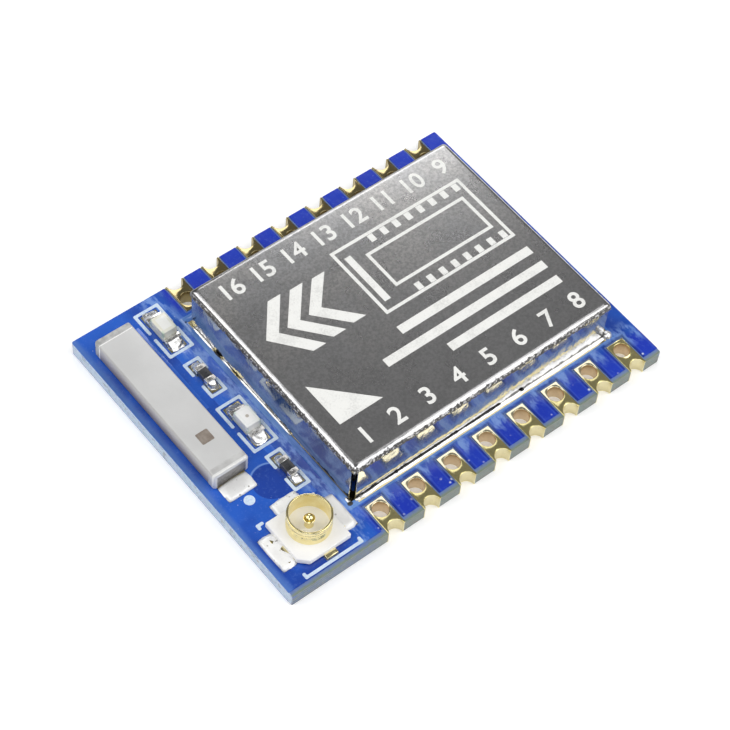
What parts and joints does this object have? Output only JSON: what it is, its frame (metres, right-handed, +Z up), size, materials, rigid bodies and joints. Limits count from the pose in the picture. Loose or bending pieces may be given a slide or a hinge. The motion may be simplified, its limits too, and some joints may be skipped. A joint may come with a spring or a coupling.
{
  "type": "wifi module",
  "caption": "Small radio circuit module: board with plated edge pads, soldered screening can, ceramic chip aerial and coaxial aerial socket.",
  "frame": {"origin": "centre of the board's outline at the plane of the bottom lands, on which the module rests", "axes": "+Z up from the underside to the can's top, +X along the board's long side away from the aerial end, +Y across the board, with edge pads 1 to 8 at -Y and 9 to 16 at +Y"},
  "size_m": [0.0212, 0.016, 0.0032],
  "materials": {
    "laminate": "cut glass-fibre laminate",
    "mask_blue": "gloss solder mask",
    "gold_plate": "thin gold plating",
    "ink_white": "printed ink",
    "can_sheet": "satin top with polished walls",
    "solder": "bright solder",
    "aerial_ceramic": "smooth ceramic",
    "end_silver": "fired silver",
    "moulding_white": "moulded plastic",
    "lamp_board": "white laminate",
    "tin_plate": "bright tin",
    "lens_warm": "cloudy clear resin",
    "lens_clear": "cloudy clear resin",
    "die": "polished",
    "resistor_black": "glazed top",
    "chip_black": "moulded epoxy",
    "crystal_ceramic": "matt ceramic",
    "capacitor_tan": "matt ceramic",
    "inductor_blue": "matt ceramic"
  },
  "bodies": {
    "root": {"laminate_core": "laminate", "solder_mask_top": "mask_blue", "solder_mask_bottom": "mask_blue", "edge_pad_01": "gold_plate", "edge_pad_02": "gold_plate", "edge_pad_03": "gold_plate", "edge_pad_04": "gold_plate", "edge_pad_05": "gold_plate", "edge_pad_06": "gold_plate", "edge_pad_07": "gold_plate", "edge_pad_08": "gold_plate", "edge_pad_09": "gold_plate", "edge_pad_10": "gold_plate", "edge_pad_11": "gold_plate", "edge_pad_12": "gold_plate", "edge_pad_13": "gold_plate", "edge_pad_14": "gold_plate", "edge_pad_15": "gold_plate", "edge_pad_16": "gold_plate", "surface_lands": "gold_plate", "legend_ink": "ink_white", "screening_can": "can_sheet", "can_solder": "solder", "aerial_body": "aerial_ceramic", "aerial_feed_cap": "end_silver", "aerial_open_cap": "end_silver", "aerial_solder": "solder", "socket_base": "moulding_white", "socket_shell": "gold_plate", "socket_contact": "gold_plate", "socket_solder": "solder", "power_lamp_base": "lamp_board", "power_lamp_ends": "tin_plate", "power_lamp_lens": "lens_warm", "power_lamp_die": "die", "status_lamp_base": "lamp_board", "status_lamp_ends": "tin_plate", "status_lamp_lens": "lens_clear", "status_lamp_die": "die", "lamp_resistor_bodies": "resistor_black", "lamp_resistor_ends": "tin_plate", "small_part_solder": "solder", "controller_body": "chip_black", "controller_pads": "tin_plate", "memory_body": "chip_black", "memory_leads": "tin_plate", "crystal_base": "crystal_ceramic", "crystal_lid": "can_sheet", "capacitor_bodies": "capacitor_tan", "capacitor_ends": "tin_plate", "pull_resistor_bodies": "resistor_black", "pull_resistor_ends": "tin_plate", "inductor_bodies": "inductor_blue", "inductor_ends": "tin_plate", "inner_solder": "solder"}
  },
  "joints": []
}
